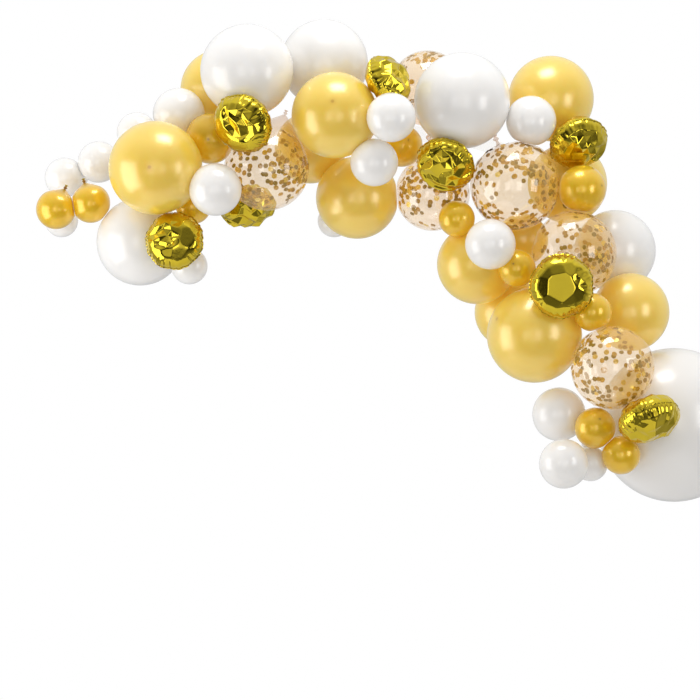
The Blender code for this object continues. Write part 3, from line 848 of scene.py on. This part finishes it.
class Tree:
    """A Geometry Nodes tree that is built node by node."""

    def __init__(self, name, inputs):
        self.group = bpy.data.node_groups.new(name, "GeometryNodeTree")
        sides = self.group.interface
        sides.new_socket("Geometry", in_out="INPUT", socket_type="NodeSocketGeometry")
        for label, kind in inputs:
            sides.new_socket(label, in_out="INPUT", socket_type=kind)
        sides.new_socket("Geometry", in_out="OUTPUT", socket_type="NodeSocketGeometry")
        self.given = self.group.nodes.new("NodeGroupInput").outputs
        self.end = self.group.nodes.new("NodeGroupOutput").inputs

    def add(self, kind, links=None, values=None, **settings):
        node = self.group.nodes.new(kind)
        for key, value in settings.items():
            setattr(node, key, value)
        for key, value in (values or {}).items():
            node.inputs[key].default_value = value
        for key, value in (links or {}).items():
            self.group.links.new(value, node.inputs[key])
        return node.outputs

    def apply(self, mesh, values):
        """Runs the tree on a mesh and returns the result as a plain mesh."""
        holder = bpy.data.objects.new("holder", mesh)
        bpy.context.scene.collection.objects.link(holder)
        modifier = holder.modifiers.new("Nodes", "NODES")
        modifier.node_group = self.group
        for item in self.group.interface.items_tree:
            if item.in_out == "INPUT" and item.name in values:
                modifier[item.identifier] = values[item.name]
        graph = bpy.context.evaluated_depsgraph_get()
        result = bpy.data.meshes.new_from_object(holder.evaluated_get(graph))
        bpy.data.objects.remove(holder)
        return result


def confetti_tree(material):
    """Discs scattered on a skin in loose crowds, lying against it, each with its own random
    colour value, whose top values are painted glints.
    """
    tree = Tree("Confetti", (("Density", "NodeSocketFloat"), ("Spacing", "NodeSocketFloat"),
                             ("Diameter", "NodeSocketFloat"), ("Thickness", "NodeSocketFloat"),
                             ("Bare place", "NodeSocketVector"),
                             ("Bare reach", "NodeSocketFloat"), ("Seed", "NodeSocketInt")))
    given = tree.given
    place = tree.add("GeometryNodeInputPosition")
    flat = tree.add("ShaderNodeVectorMath", {0: place[0]}, {1: (1.0, 0.0, 1.0)},
                    operation="MULTIPLY")
    away = tree.add("ShaderNodeVectorMath", {0: flat[0], 1: given["Bare place"]},
                    operation="DISTANCE")
    share = maths(tree.group, "DIVIDE", away["Value"], given["Bare reach"])
    kept = tree.add("ShaderNodeMapRange", {"Value": share},
                    {"From Min": 0.6, "From Max": 1.1, "To Min": 0.12, "To Max": 1.0})
    chance = maths(tree.group, "MULTIPLY", given["Seed"], 3.7)
    cloud = tree.add("ShaderNodeTexNoise", {"Vector": place[0], "W": chance},
                     {"Scale": 16.0, "Detail": 2.0}, noise_dimensions="4D")
    crowd = tree.add("ShaderNodeMapRange", {"Value": cloud[0]},
                     {"From Min": 0.42, "From Max": 0.66, "To Min": 0.07, "To Max": 1.0})
    thinned = maths(tree.group, "MULTIPLY", crowd[0], kept[0])
    scatter = tree.add("GeometryNodeDistributePointsOnFaces",
                       {"Mesh": given["Geometry"], "Distance Min": given["Spacing"],
                        "Density Max": given["Density"], "Density Factor": thinned,
                        "Seed": given["Seed"]}, distribute_method="POISSON")
    tone_and_glint = tree.add("FunctionNodeRandomValue", {"Seed": given["Seed"]}, data_type="FLOAT")
    stored = tree.add("GeometryNodeStoreNamedAttribute",
                      {"Geometry": scatter["Points"], "Value": tone_and_glint[1]},
                      {"Name": "tone_and_glint"}, data_type="FLOAT", domain="POINT")
    half = maths(tree.group, "MULTIPLY", given["Diameter"], 0.5)
    disc = tree.add("GeometryNodeMeshCylinder",
                    {"Radius": half, "Depth": given["Thickness"]}, {"Vertices": DISC_SIDES})
    tilt = tree.add("FunctionNodeRandomValue", {"Seed": given["Seed"]},
                    {0: (-0.30, -0.30, 0.0), 1: (0.30, 0.30, math.tau)},
                    data_type="FLOAT_VECTOR")
    turn = tree.add("FunctionNodeRotateEuler",
                    {"Rotation": scatter["Rotation"], "Rotate By": tilt[0]}, space="LOCAL")
    size = tree.add("FunctionNodeRandomValue", {"Seed": given["Seed"]}, {2: 0.88, 3: 1.05},
                    data_type="FLOAT")
    placed = tree.add("GeometryNodeInstanceOnPoints",
                      {"Points": stored[0], "Instance": disc[0], "Rotation": turn[0],
                       "Scale": size[1]})
    real = tree.add("GeometryNodeRealizeInstances", {"Geometry": placed[0]})
    dressed = tree.add("GeometryNodeSetMaterial", {"Geometry": real[0]}, {"Material": material})
    tree.group.links.new(dressed[0], tree.end[0])
    return tree


def inner_skin(body, inset):
    """The inside of a clear balloon, where its confetti clings."""
    inner = bmesh.new()
    bmesh.ops.create_icosphere(inner, subdivisions=INNER_SUBDIVISIONS, radius=body.radius)
    points = np.array([tuple(vert.co) for vert in inner.verts]) + body.centre
    points = pressed(body, points)
    points = body.centre + (points - body.centre) * (1 - inset / body.radius)
    for vert, point in zip(inner.verts, points):
        vert.co = point
    mesh = bpy.data.meshes.new("inner")
    inner.to_mesh(mesh)
    inner.free()
    return mesh


class GARLAND_OT_confetti(bpy.types.Operator):
    """Scatters confetti inside the clear balloons"""

    bl_idname = "garland.confetti"
    bl_label = "Confetti"

    def execute(self, context):
        settings = context.scene.garland_clear
        material = confetti_material()
        tree = confetti_tree(material)
        clear = [body for body in bodies() if body.name.startswith("clear")]
        for number, body in enumerate(clear):
            inner = inner_skin(body, settings.disc_diameter * DISC_INSET_SHARE)
            right, up, reach = BARE_PLACES[body.name]
            bare = body.centre + np.array((right, 0.0, up)) * body.radius
            mesh = tree.apply(inner, {
                "Density": settings.disc_density, "Spacing": settings.disc_spacing,
                "Diameter": settings.disc_diameter, "Thickness": settings.disc_thickness,
                "Bare place": (bare[0], 0.0, bare[2]), "Bare reach": reach * body.radius,
                "Seed": settings.seed + number})
            if not mesh.polygons:
                raise RuntimeError("no confetti in " + body.name)
            add_piece(body.name + "_confetti", mesh, material)
        return {"FINISHED"}


def pillow_height(across):
    """Height of the blown pillow over its middle plane, as a share of its radius."""
    return FOIL_THICKNESS_SHARE * np.sqrt(1 - np.clip(across, 0, 1) ** FOIL_FULLNESS)


def ring_angles(count, shift, chance):
    """Angles round a ring from a random start, each moved by up to a share of its room."""
    start = chance.uniform(0, math.tau)
    for k in range(count):
        yield start + (k + chance.uniform(-shift, shift)) * math.tau / count


def facet_planes(body, side, other, face, chance, bare):
    """Planes that cut one dome into facets, in rings, outside the place that stays bare."""
    planes = []
    axis = body.axis * face
    for count, middle, spread, least in FACET_RINGS:
        for angle in ring_angles(count, FACET_SHIFT, chance):
            across = abs(middle + chance.uniform(-spread, spread))
            spot = across * math.cos(angle), across * math.sin(angle)
            outwards = side * math.cos(angle) + other * math.sin(angle)
            height = float(pillow_height(across))
            slope = (FOIL_THICKNESS_SHARE ** 2 * FOIL_FULLNESS * across ** (FOIL_FULLNESS - 1)
                     / (2 * height))
            tilt = chance.normal(0, FACET_TILT, 3)
            normal = unit(unit(outwards * slope + axis) + tilt)
            point = (outwards * across + axis * height) * body.radius
            inset = (least + chance.uniform(0, FACET_DEPTH_SPREAD)) * body.radius
            if math.hypot(spot[0] - bare[0], spot[1] - bare[1]) > bare[2]:
                planes.append((normal, float(normal @ point) - inset))
    return planes


def creased_heights(x, y, depth, chance):
    """Heights of a dome whose sheet is creased along a net of triangles."""
    corners, heights = [], []
    for count, ring in CREASE_RINGS:
        for angle in ring_angles(count, CREASE_SHIFT, chance):
            across = ring + chance.uniform(-CREASE_SPREAD, CREASE_SPREAD) * (ring < 1)
            corners.append(Vector((across * math.cos(angle), across * math.sin(angle))))
            lift = chance.uniform(*CREASE_LIFTS) * depth
            heights.append(float(pillow_height(abs(across))) + lift)
    result = pillow_height(np.hypot(x, y))
    for a, b, c in delaunay_2d_cdt(corners, [], [], 0, 1e-6)[2]:
        sides = np.array((corners[b] - corners[a], corners[c] - corners[a])).T
        away = np.array((x - corners[a].x, y - corners[a].y))
        u, v = np.linalg.solve(sides, away)
        inside = (u >= 0) & (v >= 0) & (u + v <= 1)
        flat = heights[a] + u * (heights[b] - heights[a]) + v * (heights[c] - heights[a])
        result = np.where(inside, flat, result)
    return result


def pleat_depth(angles, pleats, chance):
    """Depth and length of the pleats that run inwards from the seam, at each angle."""
    shifts = chance.uniform(-PLEAT_SHIFT, PLEAT_SHIFT, pleats)
    places = (np.arange(pleats) + shifts) / pleats * math.tau
    depth, length = np.zeros(len(angles)), np.full(len(angles), PLEAT_LENGTHS[0])
    for place in places:
        away = np.abs((angles - place + math.pi) % math.tau - math.pi)
        share = np.clip(1 - away / (PLEAT_WIDTH * math.tau / pleats), 0, 1)
        strength, reach = chance.uniform(*PLEAT_STRENGTHS), chance.uniform(*PLEAT_LENGTHS)
        length = np.where(share * strength > depth, reach, length)
        depth = np.maximum(depth, share * strength)
    return depth, length


def polygon_outline(angles, corners, chance):
    """How far a polygon's edge is from its middle at each angle, where its corners are at 1."""
    shifts = chance.uniform(-CORNER_SHIFT, CORNER_SHIFT, corners)
    places = np.sort((np.arange(corners) + shifts) / corners)
    places = np.append(places, places[0] + 1) * math.tau
    turned = (angles - places[0]) % math.tau + places[0]
    after = np.clip(np.searchsorted(places, turned, side="right"), 1, corners)
    half = (places[after] - places[after - 1]) / 2
    return np.cos(half) / np.cos(turned - places[after] + half)


def foil_mesh(body, settings, number):
    """Two foil sheets blown up in a seam: pleats at the rim, facets and crumples inside."""
    count, rings = FOIL_POINTS, FOIL_RINGS
    side, other = turned_frame(body.axis)
    round_, angles = circle(count, side, other)
    chance = np.random.default_rng(settings.seed + number)
    rim_share = polygon_outline(angles, settings.corners, chance)
    seam = 1 - settings.seam_width / body.radius
    right, up, reach, deep = CRUMPLES[body.name]
    across = np.repeat(np.sin(np.arange(1, rings + 1) / rings * math.pi / 2), count)
    turned = np.tile(angles, rings)
    x, y = across * np.cos(turned), across * np.sin(turned)
    middle_x = right * side[0] + up * side[2]
    middle_y = right * other[0] + up * other[2]
    away = np.hypot(x - middle_x, y - middle_y)
    crumpled = np.clip((reach - away) / CRUMPLE_EDGE + 0.5, 0.0, 1.0) * (1 - across ** 10)
    pulled = np.zeros(count)
    domes = []
    for face in (1, -1):
        facets = ()
        if body.name in FACETED:
            bare = middle_x, middle_y, reach
            facets = facet_planes(body, side, other, face, chance, bare)
        depth, length = pleat_depth(angles, settings.pleats, chance)
        pulled = np.maximum(pulled, depth)
        depth, length = np.tile(depth, rings), np.tile(length, rings)
        fade = np.clip((across - 1 + length) / length, 0, 1)
        smooth = pillow_height(across) - PLEAT_DEPTH * depth * fade * (1 - across ** 12)
        height = smooth + crumpled * (creased_heights(x, y, deep, chance) - smooth)
        height = np.maximum(height, LEAST_FOIL_HEIGHT) * body.radius * face
        spread = across * seam * (1 - PLEAT_PULL * depth * fade) * body.radius
        spread *= 1 - (1 - np.tile(rim_share, rings)) * across ** 3
        points = body.centre + np.tile(round_, (rings, 1)) * spread[:, None]
        points = pressed(body, points + np.outer(height, body.axis), FOIL_SOFTNESS, facets)
        middle = (body.centre + body.axis * abs(height[0]) * face)[None, :]
        domes.append((list(points.reshape(rings, count, 3)),
                      pressed(body, middle, FOIL_SOFTNESS, facets)[0]))
    ripple = SEAM_RIPPLE * np.sin(angles * SEAM_RIPPLES)
    edge = body.radius * rim_share * (1 - PLEAT_PULL * pulled)
    rim = body.centre + round_ * edge[:, None] + np.outer(ripple, body.axis)
    sheet = body.axis * SEAM_HALF
    (front, first), (back, last) = domes
    return loops_mesh(body.name, front + [rim + sheet, rim - sheet] + back[::-1], first, last)


def foil_material(settings):
    """Mirror gold foil with fine ripples and a little haze."""
    made, tree, shader = new_material("gold_foil")
    bump(tree, shader, noise(tree, 75.0, 3.0), 0.10, 0.002)
    haze = noise(tree, 30.0)
    tree.links.new(ramp(tree, haze, (0.3, 0.07), (0.8, 0.16)), shader.inputs["Roughness"])
    shade = tuple(part * 0.85 for part in settings.colour)
    tree.links.new(mix(tree, haze, settings.colour, shade), shader.inputs["Base Color"])
    shader.inputs["Metallic"].default_value = 1.0
    return made


class GARLAND_OT_foil(bpy.types.Operator):
    """Makes the round foil balloons"""

    bl_idname = "garland.foil"
    bl_label = "Foil balloons"

    def execute(self, context):
        settings = context.scene.garland_foil
        material = foil_material(settings)
        foils = [body for body in bodies() if body.foil]
        for number, body in enumerate(foils):
            add_piece(body.name + "_skin", foil_mesh(body, settings, number), material,
                      body.name)
        return {"FINISHED"}


def strip_material():
    """Clear plastic strip, slightly hazy."""
    made, tree, shader = new_material("clear_strip_plastic")
    rough = ramp(tree, noise(tree, 40.0), (0.3, 0.15), (0.8, 0.35))
    tree.links.new(rough, shader.inputs["Roughness"])
    shader.inputs["Base Color"].default_value = (0.98, 0.99, 0.99, 1.0)
    shader.inputs["Alpha"].default_value = 0.08
    shader.inputs["IOR"].default_value = 1.2
    return made


class GARLAND_OT_strip(bpy.types.Operator):
    """Gives the strip its clear plastic"""

    bl_idname = "garland.strip"
    bl_label = "Strip"

    def execute(self, context):
        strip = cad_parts["strip"]
        strip.data.materials.clear()
        strip.data.materials.append(strip_material())
        return {"FINISHED"}


def area_lamp(name, place, width, height, power):
    """A soft rectangular lamp that looks at the garland."""
    data = bpy.data.lights.new(name, "AREA")
    data.shape = "RECTANGLE"
    data.size = width
    data.size_y = height
    data.energy = power
    lamp = bpy.data.objects.new(name, data)
    lamp.location = place
    towards = Vector(LAMP_TARGET) - Vector(place)
    lamp.rotation_euler = towards.to_track_quat("-Z", "Y").to_euler()
    bpy.context.scene.collection.objects.link(lamp)


def studio_world():
    """A white room round a dim studio: white to the camera, and dark in front for the gloss."""
    world = bpy.data.worlds.new("Studio")
    bpy.context.scene.world = world
    world.use_nodes = True
    tree = world.node_tree
    place = tree.nodes.new("ShaderNodeTexCoord")
    split = tree.nodes.new("ShaderNodeSeparateXYZ")
    tree.links.new(place.outputs["Generated"], split.inputs[0])
    behind = maths(tree, "MULTIPLY_ADD", split.outputs["Y"], 0.5, 0.5)
    above = maths(tree, "MULTIPLY_ADD", split.outputs["Z"], 0.5, 0.5)
    wall = ramp(tree, above, (0.0, 0.47), (0.5, 0.71), (1.0, 0.88))
    front = ramp(tree, above, (0.0, 0.36), (0.5, 0.47), (1.0, 0.70))
    far = ramp(tree, above, (0.0, 0.22), (0.5, 0.60), (1.0, 0.90))
    dim = ramp(tree, above, (0.0, 0.24), (0.28, 0.12), (0.36, 0.03), (0.62, 0.04), (0.80, 0.40),
               (1.0, 0.90))
    path = tree.nodes.new("ShaderNodeLightPath")
    soft = mix(tree, ramp(tree, behind, (0.15, 0.0), (0.60, 1.0)), front, wall)
    patch = ramp(tree, behind, (0.0, 0.68), (0.022, 0.60), (0.034, 0.0))
    room = ramp(tree, noise(tree, 3.4, 1.0, "Generated"), (0.55, 0.0), (0.60, 0.40), (0.72, 0.65))
    dim = mix(tree, 1.0, mix(tree, 1.0, dim, patch, "ADD"), room, "LIGHTEN")
    gloss = mix(tree, ramp(tree, behind, (0.28, 0.0), (0.62, 1.0)), dim, far)
    lit = mix(tree, path.outputs["Is Glossy Ray"], soft, gloss)
    seen = mix(tree, path.outputs["Is Camera Ray"], lit, (1.0, 1.0, 1.0))
    tree.links.new(seen, tree.nodes["Background"].inputs["Color"])


class GARLAND_OT_stage(bpy.types.Operator):
    """Makes the floor, the lamps, the world and the camera"""

    bl_idname = "garland.stage"
    bl_label = "Stage"

    def execute(self, context):
        settings = context.scene.garland_stage
        scene = context.scene
        half, level = settings.floor_size / 2, settings.floor_level
        mesh = bpy.data.meshes.new("floor")
        mesh.from_pydata([(-half, -half, level), (half, -half, level), (half, half, level),
                          (-half, half, level)], [], [(0, 1, 2, 3)])
        material, _, shader = new_material("pale_floor")
        shader.inputs["Base Color"].default_value = FLOOR_COLOUR
        shader.inputs["Roughness"].default_value = FLOOR_ROUGHNESS
        mesh.materials.append(material)
        floor = bpy.data.objects.new("floor", mesh)
        scene.collection.objects.link(floor)
        studio_world()
        area_lamp("overhead_softbox", (0.2, -0.75, 1.9), 1.0, 0.8, settings.key_power)
        area_lamp("left_window", (-2.2, -1.0, -0.75), 1.6, 2.2, settings.window_power)
        for window in WINDOWS:
            area_lamp(*window)
        data = bpy.data.cameras.new("camera")
        data.lens = LENS_MM
        data.sensor_width = SENSOR_MM
        distance = VIEW_WIDTH * LENS_MM / SENSOR_MM
        data.clip_end = distance * 3
        camera = bpy.data.objects.new("camera", data)
        camera.location = (VIEW_CENTRE[0], VIEW_DEPTH - distance, VIEW_CENTRE[1])
        camera.rotation_euler = (math.pi / 2, 0, 0)
        scene.collection.objects.link(camera)
        scene.camera = camera
        scene.view_settings.view_transform = "Standard"
        return {"FINISHED"}


class GARLAND_PT_panel(bpy.types.Panel):
    """Lists the pieces of the garland"""

    bl_idname = "GARLAND_PT_panel"
    bl_label = "Balloon garland"
    bl_space_type = "VIEW_3D"
    bl_region_type = "UI"
    bl_category = "Garland"

    def draw(self, context):
        for operator in OPERATORS:
            self.layout.operator(operator.bl_idname)


SETTINGS = {
    "garland_latex": LatexSettings,
    "garland_clear": ClearSettings,
    "garland_foil": FoilSettings,
    "garland_stage": StageSettings,
}
OPERATORS = (
    GARLAND_OT_white,
    GARLAND_OT_pearl,
    GARLAND_OT_deep,
    GARLAND_OT_clear,
    GARLAND_OT_confetti,
    GARLAND_OT_foil,
    GARLAND_OT_strip,
    GARLAND_OT_stage,
)


def register():
    for item in (*SETTINGS.values(), *OPERATORS, GARLAND_PT_panel):
        bpy.utils.register_class(item)
    for name, kind in SETTINGS.items():
        setattr(bpy.types.Scene, name, PointerProperty(type=kind))


def unregister():
    for name in SETTINGS:
        delattr(bpy.types.Scene, name)
    for item in reversed((*SETTINGS.values(), *OPERATORS, GARLAND_PT_panel)):
        bpy.utils.unregister_class(item)


def main():
    register()
    bpy.ops.garland.white()
    bpy.ops.garland.pearl()
    bpy.ops.garland.deep()
    bpy.ops.garland.clear()
    bpy.ops.garland.confetti()
    bpy.ops.garland.foil()
    bpy.ops.garland.strip()
    bpy.ops.garland.stage()


if __name__ == "__main__":
    main()
